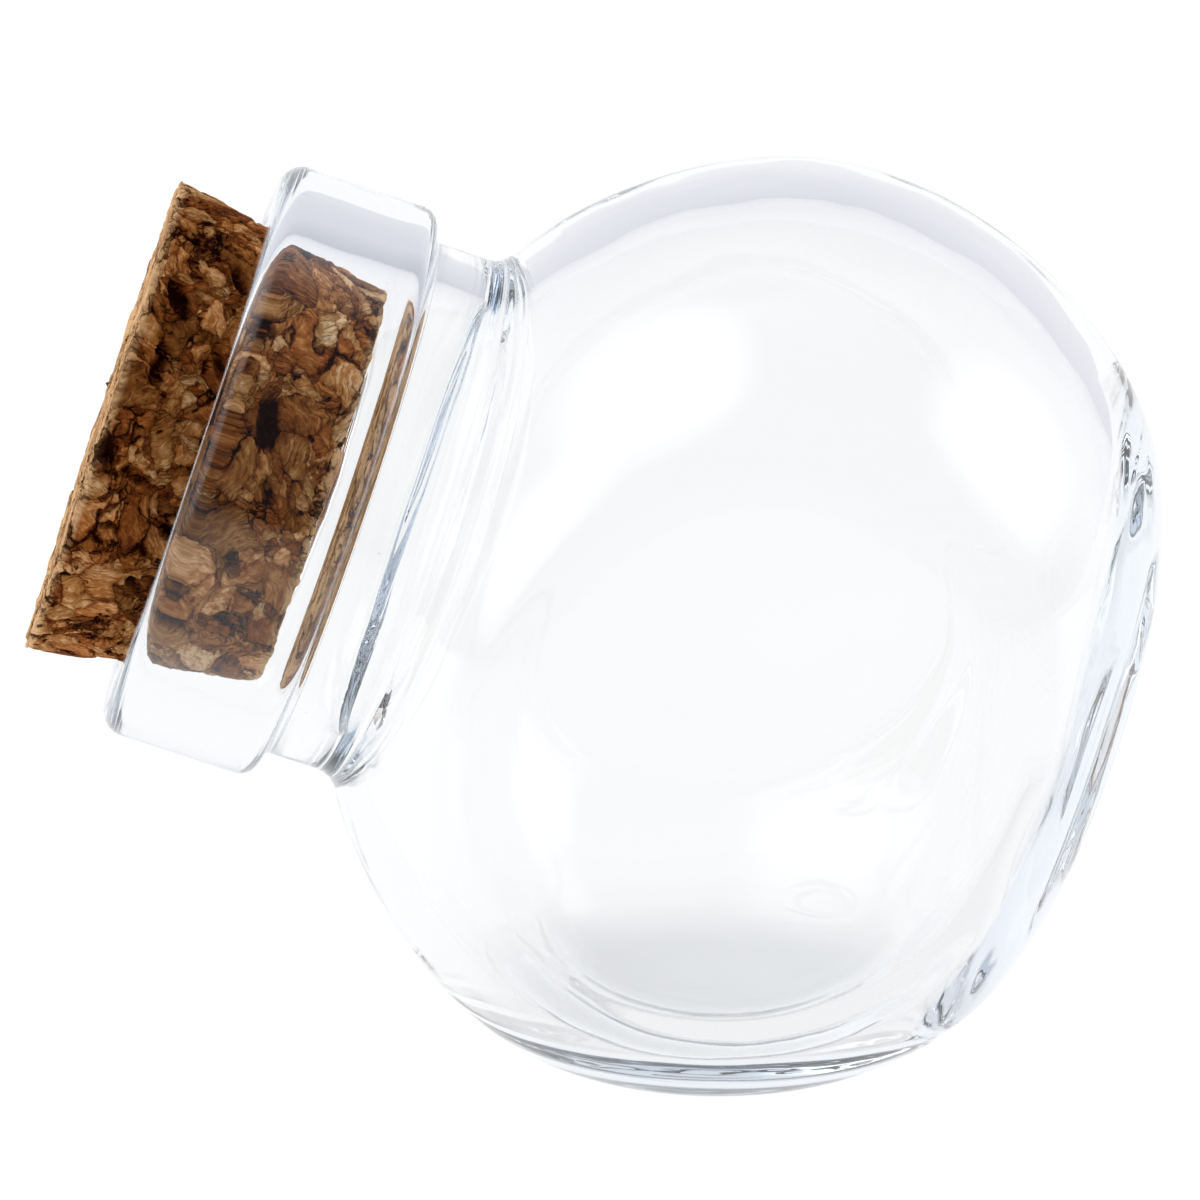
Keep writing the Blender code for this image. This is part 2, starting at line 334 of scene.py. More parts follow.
def stops(tree, factor, *tones):
    """A colour ramp through several (position, colour) stops."""
    made = add_node(tree, "ShaderNodeValToRGB", {"Fac": factor})
    ramp = made.color_ramp
    while len(ramp.elements) < len(tones):
        ramp.elements.new(1)
    for element, (position, colour) in zip(ramp.elements, tones):
        element.position = position
        element.color = (*colour, 1)
    return made.outputs["Color"]


def new_group(name, kind, inputs, outputs):
    """An empty node group with named sockets: the tree, its inputs and its output node."""
    tree = bpy.data.node_groups.new(name, kind)
    for label, socket in inputs:
        tree.interface.new_socket(label, in_out="INPUT", socket_type=socket)
    for label, socket in outputs:
        tree.interface.new_socket(label, in_out="OUTPUT", socket_type=socket)
    given = tree.nodes.new("NodeGroupInput")
    result = tree.nodes.new("NodeGroupOutput")
    return tree, given.outputs, result.inputs


def shape_by(piece, tree, **values):
    """Run a geometry node group on a piece with these values, and keep the result."""
    modifier = piece.modifiers.new(tree.name, "NODES")
    modifier.node_group = tree
    sockets = {item.name: item.identifier for item in tree.interface.items_tree}
    for label, value in values.items():
        modifier[sockets[label]] = value
    bpy.context.view_layer.objects.active = piece
    bpy.ops.object.modifier_apply(modifier=modifier.name)


GEOMETRY = [("Geometry", "NodeSocketGeometry")]


def press_nodes():
    """Geometry nodes that press what lies past a plane flat against it, with a soft edge."""
    tree, given, result = new_group(
        "press_flat", "GeometryNodeTree",
        GEOMETRY + [("Direction", "NodeSocketVector"), ("Distance", "NodeSocketFloat"),
                    ("Edge", "NodeSocketFloat")], GEOMETRY)
    place = add_node(tree, "GeometryNodeInputPosition").outputs["Position"]
    reach = dot(tree, place, given["Direction"])
    pressed = maths(tree, "SMOOTH_MIN", reach, given["Distance"], given["Edge"])
    shift = scaled(tree, given["Direction"], maths(tree, "SUBTRACT", pressed, reach))
    moved = add_node(
        tree, "GeometryNodeSetPosition", {"Geometry": given["Geometry"], "Offset": shift})
    tree.links.new(moved.outputs["Geometry"], result["Geometry"])
    return tree


def ripple_nodes():
    """Geometry nodes that swell and dent a surface, but leave the rim and the foot alone."""
    tree, given, result = new_group(
        "ripple", "GeometryNodeTree",
        GEOMETRY + [("Size", "NodeSocketFloat"), ("Depth", "NodeSocketFloat"),
                    ("Start", "NodeSocketVector")], GEOMETRY)
    place = add_node(tree, "GeometryNodeInputPosition").outputs["Position"]
    normal = add_node(tree, "GeometryNodeInputNormal").outputs["Normal"]
    shifted = vectors(tree, "ADD", place, given["Start"])
    lumps = add_node(tree, "ShaderNodeTexNoise", {
        "Vector": shifted, "Scale": maths(tree, "DIVIDE", 1.0, given["Size"]), "Detail": 1.0})
    height = maths(tree, "SUBTRACT", lumps.outputs["Fac"], NOISE_MIDDLE)
    along = dot(tree, vectors(tree, "SUBTRACT", place, BELLY_CENTRE), UPWARDS)
    below_rim = ramped(tree, along, RIM_HEIGHT - RIM_ROUND, RIM_HEIGHT - BEAD_HEIGHT)
    above_foot = ramped(tree, part_of(tree, place, "Z"), 0.0, RIPPLE_FADE)
    depth = maths(tree, "MULTIPLY", height, given["Depth"])
    depth = maths(tree, "MULTIPLY", maths(tree, "MULTIPLY", depth, below_rim), above_foot)
    moved = add_node(tree, "GeometryNodeSetPosition", {
        "Geometry": given["Geometry"], "Offset": scaled(tree, normal, depth)})
    tree.links.new(moved.outputs["Geometry"], result["Geometry"])
    return tree


def drawn_outline(name, points):
    """A line of edges through points (radius, height), drawn point by point, in edit mode."""
    bpy.ops.object.select_all(action="DESELECT")
    bpy.ops.mesh.primitive_plane_add(size=OUTLINE_STEP, enter_editmode=True)
    bpy.context.object.name = name
    bpy.ops.mesh.merge(type="CENTER")
    bpy.ops.transform.translate(value=(points[0][0], 0, points[0][1]))
    for before, point in zip(points, points[1:]):
        step = (point[0] - before[0], 0, point[1] - before[1])
        bpy.ops.mesh.extrude_region_move(TRANSFORM_OT_translate={"value": step})


def laid_down(piece):
    """Take a piece from the jar's own frame to where the jar lies, its place kept in its mesh."""
    bpy.ops.object.select_all(action="DESELECT")
    piece.select_set(True)
    bpy.context.view_layer.objects.active = piece
    piece.rotation_euler = (0, MOUTH_RISE - RIGHT_ANGLE, 0)
    piece.location = BELLY_CENTRE
    bpy.ops.object.transform_apply(location=True, rotation=True, scale=True)
    return piece


def turned(name, points, turn_steps):
    """A smooth shell turned about Z from an outline, then laid down as the jar lies."""
    drawn_outline(name, points)
    bpy.ops.mesh.select_all(action="SELECT")
    bpy.ops.mesh.spin(steps=turn_steps, angle=2 * math.pi, center=(0, 0, 0), axis=(0, 0, 1))
    bpy.ops.mesh.select_all(action="SELECT")
    bpy.ops.mesh.remove_doubles(threshold=SAME_POINT)
    bpy.ops.mesh.normals_make_consistent(inside=False)
    bpy.ops.object.mode_set(mode="OBJECT")
    made = laid_down(bpy.context.object)
    bpy.ops.object.shade_smooth()
    return made


def joined(name, pieces):
    """Several shells made one closed piece, their shared edges merged and their faces outwards."""
    bpy.ops.object.select_all(action="DESELECT")
    for piece in pieces:
        piece.select_set(True)
    bpy.context.view_layer.objects.active = pieces[0]
    bpy.ops.object.transform_apply(location=True, rotation=True, scale=True)
    bpy.ops.object.join()
    bpy.ops.object.mode_set(mode="EDIT")
    bpy.ops.mesh.select_all(action="SELECT")
    bpy.ops.mesh.remove_doubles(threshold=SAME_POINT)
    bpy.ops.mesh.normals_make_consistent(inside=False)
    bpy.ops.object.mode_set(mode="OBJECT")
    made = bpy.context.object
    made.name = name
    made.data.name = name
    return made


GLASS_IOR = 1.5

# What marks the surface of the glass: smears, soft dimples, and short specks, which are cells turned
# and squeezed, and a share as deep as the dimples
SMEAR_SIZE = 0.012
SMEAR_SPAN = (0.5, 0.75)
DIMPLE_SIZE = 0.006
SPECK_SPACING = 0.006
SPECK_TURN = Euler((0.4, 0.7, 0.2))
SPECK_SQUEEZE = (1, 6, 3)
SPECK_EDGE = (0.035, 0.02)
SPECK_DENT = 0.6
GLASS_BUMP = 0.12
GLASS_BUMP_DEPTH = 0.0002


def glass_material(settings):
    """Clear pressed glass with a faint cool tint, tiny specks and a few smears."""
    made = bpy.data.materials.new("clear_pressed_glass")
    made.use_nodes = True
    tree = made.node_tree
    shader = tree.nodes["Principled BSDF"]
    shader.inputs["Base Color"].default_value = (*settings.tint, 1)
    shader.inputs["Transmission Weight"].default_value = 1
    shader.inputs["IOR"].default_value = GLASS_IOR
    place = add_node(tree, "ShaderNodeTexCoord").outputs["Object"]
    smears = ramped(
        tree, noise(tree, place, SMEAR_SIZE, detail=4.0), *SMEAR_SPAN, 0.0, settings.smear)
    tree.links.new(smears, shader.inputs["Roughness"])
    dimples = noise(tree, place, DIMPLE_SIZE, detail=1.0)
    squeezed = add_node(tree, "ShaderNodeMapping", {
        "Vector": place, "Rotation": SPECK_TURN, "Scale": SPECK_SQUEEZE}).outputs["Vector"]
    specks = cells(tree, squeezed, SPECK_SPACING)
    speck = ramped(tree, specks.outputs["Distance"], *SPECK_EDGE)
    height = maths(tree, "SUBTRACT", dimples, maths(tree, "MULTIPLY", speck, SPECK_DENT))
    bump = add_node(tree, "ShaderNodeBump", {
        "Strength": GLASS_BUMP, "Distance": GLASS_BUMP_DEPTH, "Height": height})
    tree.links.new(bump.outputs["Normal"], shader.inputs["Normal"])
    haze = add_node(tree, "ShaderNodeVolumeAbsorption")
    haze.inputs["Color"].default_value = (*settings.depth_tint, 1)
    haze.inputs["Density"].default_value = settings.depth_density
    tree.links.new(haze.outputs[0], tree.nodes["Material Output"].inputs["Volume"])
    open_glass = add_node(tree, "ShaderNodeBsdfTransparent", {"Color": (*settings.lamp_share, 1)})
    rays = add_node(tree, "ShaderNodeLightPath").outputs
    lets_lamps_in = add_node(tree, "ShaderNodeMixShader", {0: rays["Is Shadow Ray"]})
    tree.links.new(shader.outputs[0], lets_lamps_in.inputs[1])
    tree.links.new(open_glass.outputs[0], lets_lamps_in.inputs[2])
    tree.links.new(lets_lamps_in.outputs[0], tree.nodes["Material Output"].inputs["Surface"])
    return made


# Chips of pressed cork: the size of the large ones, the share of them that are broken into small
# ones, how they are squeezed, and how coarse and how strong their swirl and their ragged edges are
LARGE_CHIP = 0.0029
SMALL_CHIP = 0.0013
BROKEN_SHARE = 0.50
CHIP_SQUEEZE = (1.0, 0.70, 0.85)
SWIRL_SIZE = 0.0075
SWIRL_REACH = 0.0070
RAGGED_SIZE = 0.0010
RAGGED_REACH = 0.0012

# Gaps between chips: where they gape, how wide they are closed and how much wider gaping, how strong
# a closed one is and from what gape on one is full, and how far a chip's edge is rounded
GAPE_SIZE = 0.0036
GAPE_SPAN = (0.50, 0.72)
GAP_WIDTH = 0.00007
GAPE_WIDTH = 0.00040
CLOSED_GAP = 0.30
OPEN_GAPE = 0.4
EDGE_WIDTH = 0.00050

# How strongly a chip leans, per metre from its middle, and its growth lines: how far apart they are,
# how they wander, where on the cork they show, and how thin they are
CHIP_LEAN = 700.0
LINE_SPACING = 0.00050
WANDER_SIZE = 0.0020
WANDER_REACH = 0.0020
LINED_SIZE = 0.0028
LINED_SPAN = (0.48, 0.66)
LINE_SPAN = (0.62, 1.0)

# Grain, long along a chip's lines and fine across them, and pits in a few of small cells
GRAIN_LENGTH = 0.0011
GRAIN_WIDTH = 0.00026
PIT_SPACING = 0.0009
PITTED_ABOVE = 0.93
PIT_EDGE = (0.42, 0.25)

# How much each part of the pattern sinks the cork, in shares of its relief, and the most they do
SUNK_BY_CHIP = 0.35
SUNK_BY_TILT = 0.30
SUNK_BY_CREVICE = 0.60
SUNK_BY_EDGE = 0.30
SUNK_BY_PIT = 0.50
SUNK_BY_LINE = 0.18
SUNK_BY_GRAIN = 0.25
SUNK_AT_MOST = 1.5

# Tone of a chip, from 0 dark to 1 pale, what shifts it either way, and what darkens it: its own
# growth lines, and painted light and shade: a leaning chip darker where it sinks and paler where it
# rises, and painted shade at its rounded edges, in crevices and pits, and deep below the surface
CHIP_LEVELS = (0.40, 0.86)
GRAIN_LEVEL = 0.20
MOTTLE_LEVEL = 0.12
MOTTLE_SIZE = 0.0007
PAINTED_LIGHT_AND_SHADE_BY_TILT = 0.10
DARKER_BY_LINE = 0.26
PAINTED_SHADE_BY_EDGE = 0.12
PAINTED_SHADE_BY_HOLE = 0.50
PAINTED_SHADE_BY_DEPTH = 0.55
SHADED_DEPTH = (0.00035, 0.0012)

# Colours of the cork by tone, on its sides and on its cut ends, which are paler partly by their own
# colour and partly by painted light on the top and the foot. After them, the tints of single chips
# and how strong they are, the tint of painted light that makes the cork behind the glass paler and
# cooler, and a cut end's levels, share and depth
CORK_TONES = (
    (0.00, (0.018, 0.0025, 0.0005)),
    (0.25, (0.120, 0.0290, 0.0048)),
    (0.50, (0.245, 0.0780, 0.0155)),
    (0.75, (0.420, 0.1800, 0.0540)),
    (1.00, (0.700, 0.4300, 0.2200)),
)
CUT_END_TONES_WITH_PAINTED_LIGHT = (
    (0.00, (0.110, 0.050, 0.020)),
    (0.50, (0.460, 0.265, 0.125)),
    (1.00, (0.860, 0.560, 0.300)),
)
RED_TINT = (1.12, 0.93, 0.80)
OLIVE_TINT = (0.90, 1.02, 1.10)
TINT_SHARE = 0.8
PAINTED_LIGHT_BEHIND_GLASS_TINT = (1.30, 1.48, 1.70)
CUT_FACE_LEVELS = (0.05, 0.75)
CUT_FACE_SHARE = 0.75
CUT_FACE_DEPTH = (0.0011, 0.0004)

# Surface of the cork
ROUGHNESS_SPAN = (0.2, 0.8)
CORK_ROUGHNESS = (0.72, 0.95)
CORK_SPECULAR = 0.04
LINE_BUMP = 0.6
HOLE_BUMP = 1.2
CORK_BUMP_DEPTH = 0.00020


def cork_pattern(tree, place):
    """Pressed cork chips at a place in metres, the same in shader and in geometry nodes.

    Gives each chip's random colour, how it leans, the crevices between chips, the growth lines
    inside them, small pits, the fine grain, and the rounded edges of the chips. All but the colour
    and the lean go from 0 to 1.
    """
    half = (NOISE_MIDDLE,) * 3
    swirl = vectors(tree, "SUBTRACT", noise(
        tree, place, SWIRL_SIZE, detail=1.0, output="Color"), half)
    ragged = vectors(tree, "SUBTRACT", noise(
        tree, place, RAGGED_SIZE, detail=4.0, roughness=0.6, output="Color"), half)
    bent = vectors(tree, "ADD", place, scaled(tree, swirl, SWIRL_REACH))
    torn = vectors(tree, "ADD", bent, scaled(tree, ragged, RAGGED_REACH))
    squeezed = vectors(tree, "MULTIPLY", torn, CHIP_SQUEEZE)
    large = cells(tree, squeezed, LARGE_CHIP)
    small = cells(tree, squeezed, SMALL_CHIP)
    large_edge = maths(tree, "MULTIPLY", cells(
        tree, squeezed, LARGE_CHIP, "DISTANCE_TO_EDGE").outputs["Distance"], LARGE_CHIP)
    small_edge = maths(tree, "MULTIPLY", cells(
        tree, squeezed, SMALL_CHIP, "DISTANCE_TO_EDGE").outputs["Distance"], SMALL_CHIP)
    pick = part_of(tree, large.outputs["Color"], "X")
    broken = maths(tree, "GREATER_THAN", pick, 1 - BROKEN_SHARE)
    chip = blended(tree, broken, large.outputs["Color"], small.outputs["Color"])
    middle = blended(tree, broken, large.outputs["Position"], small.outputs["Position"])
    both = maths(tree, "MINIMUM", large_edge, small_edge)
    edge = between(tree, broken, large_edge, both)
    gape = ramped(tree, noise(tree, place, GAPE_SIZE), *GAPE_SPAN)
    width = maths(tree, "MULTIPLY_ADD", maths(tree, "POWER", gape, 2.0), GAPE_WIDTH, GAP_WIDTH)
    crevice = maths(tree, "SUBTRACT", 1.0, maths(tree, "DIVIDE", edge, width), clamp=True)
    crevice = maths(tree, "MULTIPLY", crevice, ramped(tree, gape, 0.0, OPEN_GAPE, CLOSED_GAP, 1.0))

    lean = vectors(tree, "NORMALIZE", vectors(tree, "SUBTRACT", chip, half))
    from_middle = vectors(tree, "SUBTRACT", squeezed, middle)
    tilt = maths(tree, "MULTIPLY", dot(tree, from_middle, lean), CHIP_LEAN)
    wander = maths(tree, "MULTIPLY", noise(tree, place, WANDER_SIZE, detail=3.0), WANDER_REACH)
    along = maths(tree, "ADD", dot(tree, bent, lean), wander)
    wave = maths(tree, "SINE", maths(tree, "MULTIPLY", along, 2 * math.pi / LINE_SPACING))
    lined = ramped(tree, noise(tree, place, LINED_SIZE), *LINED_SPAN)
    lines = maths(tree, "MULTIPLY", ramped(tree, wave, *LINE_SPAN), lined)

    streaks = vectors(tree, "ADD", scaled(tree, place, 1 / GRAIN_LENGTH), scaled(
        tree, lean, maths(tree, "MULTIPLY", along, 1 / GRAIN_WIDTH)))
    grain = noise(tree, streaks, 1.0, detail=5.0, roughness=0.65)

    spots = cells(tree, torn, PIT_SPACING)
    chosen = part_of(tree, spots.outputs["Color"], "X")
    pits = maths(
        tree, "MULTIPLY", maths(tree, "GREATER_THAN", chosen, PITTED_ABOVE),
        ramped(tree, spots.outputs["Distance"], *PIT_EDGE))
    rounded = ramped(tree, edge, 0.0, EDGE_WIDTH, 1.0, 0.0)
    return chip, tilt, crevice, lines, pits, grain, rounded


def crevice_cutter():
    """One closed mesh of boat shapes that cut the crevices, seen and unseen side alike."""
    foot = RIM_HEIGHT + CORK_PROUD - CORK_LENGTH
    boats = []
    for side in (0, 0.5):
        for turn_share, height_share, slant_share, size_share in CREVICE_SHARES:
            turn = (turn_share + side) * 2 * math.pi
            height = foot + height_share * CORK_LENGTH
            radius = cork_radius(height)
            outwards = Matrix.Rotation(turn, 4, "Z")
            place = outwards @ Vector((radius, 0, height))
            facing = outwards @ Matrix.Rotation(-slant_share * 2 * math.pi, 4, "X")
            size = Vector((CREVICE_DEPTH, CREVICE_WIDTH / 2, CREVICE_LENGTH / 2)) * size_share
            bpy.ops.object.select_all(action="DESELECT")
            bpy.ops.mesh.primitive_ico_sphere_add(
                subdivisions=2, radius=1, location=place, rotation=facing.to_euler(), scale=size)
            boats.append(bpy.context.object)
    return joined("crevice_cutter", boats)


def cork_relief_nodes():
    """Geometry nodes that sink the crevices, pits and lines of the chips into the cork."""
    tree, given, result = new_group(
        "cork_relief", "GeometryNodeTree", GEOMETRY + [("Depth", "NodeSocketFloat")], GEOMETRY)
    place = add_node(tree, "GeometryNodeInputPosition").outputs["Position"]
    normal = add_node(tree, "GeometryNodeInputNormal").outputs["Normal"]
    chip, tilt, crevice, lines, pits, grain, rounded = cork_pattern(tree, place)
    sunk = maths(tree, "MULTIPLY", part_of(tree, chip, "Z"), SUNK_BY_CHIP)
    parts = (
        (tilt, SUNK_BY_TILT), (crevice, SUNK_BY_CREVICE), (rounded, SUNK_BY_EDGE),
        (pits, SUNK_BY_PIT), (lines, SUNK_BY_LINE), (grain, SUNK_BY_GRAIN))
    for part, share in parts:
        sunk = maths(tree, "ADD", sunk, maths(tree, "MULTIPLY", part, share))
    sunk = maths(tree, "MULTIPLY", maths(tree, "MINIMUM", sunk, SUNK_AT_MOST), given["Depth"])
    moved = add_node(tree, "GeometryNodeSetPosition", {
        "Geometry": given["Geometry"],
        "Offset": scaled(tree, normal, maths(tree, "MULTIPLY", sunk, -1.0))})
    tree.links.new(moved.outputs["Geometry"], result["Geometry"])
    return tree


def cork_group():
    """Shader nodes for pressed cork: its colour with painted light and shade in it, the height for a
    bump, and its roughness.
    """
    tree, given, result = new_group(
        "pressed_cork", "ShaderNodeTree",
        [("Place", "NodeSocketVector"), ("Cut end and painted light", "NodeSocketFloat"),
         ("Depth", "NodeSocketFloat"), ("Painted light behind glass", "NodeSocketFloat")],
        [("Color", "NodeSocketColor"), ("Height", "NodeSocketFloat"),
         ("Roughness", "NodeSocketFloat")])
    chip, tilt, crevice, lines, pits, grain, rounded = cork_pattern(tree, given["Place"])
    mottle = noise(tree, given["Place"], MOTTLE_SIZE, detail=4.0, roughness=0.6)
    level = ramped(tree, part_of(tree, chip, "Y"), 0.0, 1.0, *CHIP_LEVELS)
    for pattern, shift in ((grain, GRAIN_LEVEL), (mottle, MOTTLE_LEVEL)):
        level = maths(tree, "ADD", level, ramped(tree, pattern, *NOISE_SPAN, -shift, shift))
    holes = maths(tree, "MAXIMUM", crevice, pits)
    # Painted light and shade: a leaning chip darker where it sinks and paler where it rises, with
    # painted shade at its rounded edges and in crevices and pits. The growth lines are the cork's own
    # darker colour.
    for part, share in (
            (tilt, PAINTED_LIGHT_AND_SHADE_BY_TILT), (lines, DARKER_BY_LINE), (rounded, PAINTED_SHADE_BY_EDGE),
            (holes, PAINTED_SHADE_BY_HOLE)):
        level = maths(tree, "SUBTRACT", level, maths(tree, "MULTIPLY", part, share))
    # Painted shade, darker the deeper the cork lies below its plain surface
    level = maths(tree, "SUBTRACT", level, ramped(
        tree, given["Depth"], *SHADED_DEPTH, 0.0, PAINTED_SHADE_BY_DEPTH))
    tone = stops(tree, level, *CORK_TONES)
    tint = blended(tree, part_of(tree, chip, "Z"), (*RED_TINT, 1), (*OLIVE_TINT, 1))
    tone = blended(tree, TINT_SHARE, tone, blended(tree, 1.0, tone, tint, "MULTIPLY"))
    # Painted light: the cork below the rim, behind the glass, made paler and cooler
    tone = blended(tree, given["Painted light behind glass"], tone, blended(
        tree, 1.0, tone, (*PAINTED_LIGHT_BEHIND_GLASS_TINT, 1), "MULTIPLY"))
    # Cut ends paler, partly their own colour and partly painted light on the top and the foot
    cut = stops(tree, ramped(tree, level, *CUT_FACE_LEVELS), *CUT_END_TONES_WITH_PAINTED_LIGHT)
    tree.links.new(blended(tree, given["Cut end and painted light"], tone, cut), result["Color"])
    height = maths(tree, "SUBTRACT", grain, maths(tree, "MULTIPLY", lines, LINE_BUMP))
    height = maths(tree, "SUBTRACT", height, maths(tree, "MULTIPLY", holes, HOLE_BUMP))
    tree.links.new(height, result["Height"])
    tree.links.new(
        ramped(tree, grain, *ROUGHNESS_SPAN, *CORK_ROUGHNESS), result["Roughness"])
    return tree


def cork_material():
    """Pressed cork, paler on its cut ends, partly their own colour and partly painted light, paler and
    cooler inside the jar by painted light, and dark by painted shade where it is torn deep.
    """
    made = bpy.data.materials.new("pressed_cork_chips")
    made.use_nodes = True
    tree = made.node_tree
    shader = tree.nodes["Principled BSDF"]
    shader.inputs["Specular IOR Level"].default_value = CORK_SPECULAR
    place = add_node(tree, "ShaderNodeTexCoord").outputs["Object"]
    from_belly = vectors(tree, "SUBTRACT", place, BELLY_CENTRE)
    height = dot(tree, from_belly, UPWARDS)
    top = RIM_HEIGHT + CORK_PROUD
    middle = top - CORK_LENGTH / 2
    end_depth = maths(tree, "SUBTRACT", CORK_LENGTH / 2, maths(
        tree, "ABSOLUTE", maths(tree, "SUBTRACT", height, middle)))
    # Where the cut ends are, for their paler colour, which is partly painted light
    cut = ramped(tree, end_depth, *CUT_FACE_DEPTH, 0.0, CUT_FACE_SHARE)
    outwards = vectors(tree, "SUBTRACT", from_belly, scaled(tree, tuple(UPWARDS), height))
    reach = add_node(
        tree, "ShaderNodeVectorMath", {0: outwards}, operation="LENGTH").outputs["Value"]
    side_depth = maths(tree, "SUBTRACT", maths(
        tree, "MULTIPLY_ADD", height, math.tan(CORK_TAPER), cork_radius(0.0)), reach)
    cork = add_node(tree, "ShaderNodeGroup", node_tree=cork_group())
    tree.links.new(place, cork.inputs["Place"])
    tree.links.new(cut, cork.inputs["Cut end and painted light"])
    # Below the rim, behind the glass, where painted light makes the cork paler and cooler
    painted_light_behind_glass = ramped(tree, height, RIM_HEIGHT + RIM_ROUND, RIM_HEIGHT - RIM_ROUND)
    tree.links.new(painted_light_behind_glass, cork.inputs["Painted light behind glass"])
    # How deep a point lies below the cork's plain surface, for the painted shade
    tree.links.new(maths(tree, "MINIMUM", side_depth, end_depth), cork.inputs["Depth"])
    tree.links.new(cork.outputs["Color"], shader.inputs["Base Color"])
    tree.links.new(cork.outputs["Roughness"], shader.inputs["Roughness"])
    bump = add_node(tree, "ShaderNodeBump", {
        "Strength": 1.0, "Distance": CORK_BUMP_DEPTH, "Height": cork.outputs["Height"]})
    tree.links.new(bump.outputs["Normal"], shader.inputs["Normal"])
    return made


class RoundJarGlass(bpy.types.PropertyGroup):
    """Sizes and tint of the glass."""
    side_wall: FloatProperty(
        name="Side wall", description="Thickness of the glass at the belly and the flats",
        default=0.0036, unit="LENGTH", precision=5)
    base_wall: FloatProperty(
        name="Base wall", description="Thickness of the glass in the base",
        default=0.0060, unit="LENGTH", precision=5)
    foot_wall: FloatProperty(
        name="Foot wall", description="Thickness of the glass over the foot",
        default=0.0070, unit="LENGTH", precision=5)
    flat_edge: FloatProperty(
        name="Edge of the flats", description="How softly the flats run into the belly outside",
        default=0.0022, unit="LENGTH", precision=5)
    foot_edge: FloatProperty(
        name="Edge of the foot", description="How softly the foot runs into the belly outside",
        default=0.0050, unit="LENGTH", precision=5)
    inner_edge: FloatProperty(
        name="Inner edges", description="How softly the flats and the foot run into the belly inside",
        default=0.0050, unit="LENGTH", precision=5)
    ripple: FloatProperty(
        name="Ripple", description="How uneven the outside is from its mould",
        default=0.00008, unit="LENGTH", precision=5)
    inner_ripple: FloatProperty(
        name="Inner ripple", description="How uneven the inside is from its plunger",
        default=0.00014, unit="LENGTH", precision=5)
    tint: FloatVectorProperty(
        name="Tint", description="Colour of light that passes one surface",
        default=(0.997, 0.999, 1.0), subtype="COLOR", size=3, min=0, max=1)
    depth_tint: FloatVectorProperty(
        name="Depth tint", description="Colour of light that has passed deep glass",
        default=(0.50, 0.68, 0.86), subtype="COLOR", size=3, min=0, max=1)
    depth_density: FloatProperty(
        name="Depth density", description="How soon the glass takes on its depth tint",
        default=4.2, min=0)
    lamp_share: FloatVectorProperty(
        name="Lamp light let through", description="Share of the lamps' light that one wall lets in",
        default=(0.97, 0.97, 0.97), subtype="COLOR", size=3, min=0, max=1)
    smear: FloatProperty(
        name="Smears", description="Roughness where hands have left a smear",
        default=0.02, min=0, max=1)


class RoundJarCork(bpy.types.PropertyGroup):
    """Wear and relief of the cork."""
    edge: FloatProperty(
        name="Worn edge", description="How far the cork's edges are worn round",
        default=0.0003, unit="LENGTH", precision=5)
    relief: FloatProperty(
        name="Relief", description="How deep the chips and the gaps between them are sunk",
        default=0.00042, unit="LENGTH", precision=5)


class RoundJarStudio(bpy.types.PropertyGroup):
    """The table, the light and the camera."""
    table_size: FloatProperty(
        name="Table", description="Length of the table's sides", default=6.0, unit="LENGTH")
    lens: FloatProperty(
        name="Lens", description="Focal length in millimetres", default=180.0, min=1)
    camera_distance: FloatProperty(
        name="Camera distance", description="From the camera to the middle of the belly",
        default=0.54, unit="LENGTH")
    azimuth: FloatProperty(
        name="Azimuth", description="Camera's turn about the jar",
        default=math.radians(-1.4), subtype="ANGLE")
    elevation: FloatProperty(
        name="Elevation", description="Camera's height above the level",
        default=math.radians(18.5), subtype="ANGLE")


class ROUNDJAR_OT_glass(bpy.types.Operator):
    """Turn, press and finish the glass in the place of the plain jar"""
    bl_idname = "round_jar.glass"
    bl_label = "Glass jar"
    bl_options = {"REGISTER", "UNDO"}

    def execute(self, context):
        glass = context.scene.round_jar_glass
        outside = turned("outside", outer_outline(), TURN_STEPS)
        inside = turned("inside", inner_outline(glass.side_wall, glass.base_wall), TURN_STEPS)
        press = press_nodes()
        ripple = ripple_nodes()
        for direction in (Vector((0, -1, 0)), Vector((0, 1, 0))):
            shape_by(outside, press, Direction=direction, Distance=FLAT_DISTANCE, Edge=glass.flat_edge)
            shape_by(
                inside, press, Direction=direction,
                Distance=FLAT_DISTANCE - glass.side_wall, Edge=glass.inner_edge)
        down = Vector((0, 0, -1))
        shape_by(outside, press, Direction=down, Distance=0.0, Edge=glass.foot_edge)
        shape_by(inside, press, Direction=down, Distance=-glass.foot_wall, Edge=glass.inner_edge)
        shape_by(outside, ripple, Size=RIPPLE_SIZE, Depth=glass.ripple, Start=RIPPLE_START)
        shape_by(
            inside, ripple, Size=INNER_RIPPLE_SIZE, Depth=glass.inner_ripple,
            Start=INNER_RIPPLE_START)
        jar = joined("pressed_glass_jar", [outside, inside])
        jar.data.materials.append(glass_material(glass))
        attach(jar, "jar")
        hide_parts("glass_jar")
        return {"FINISHED"}


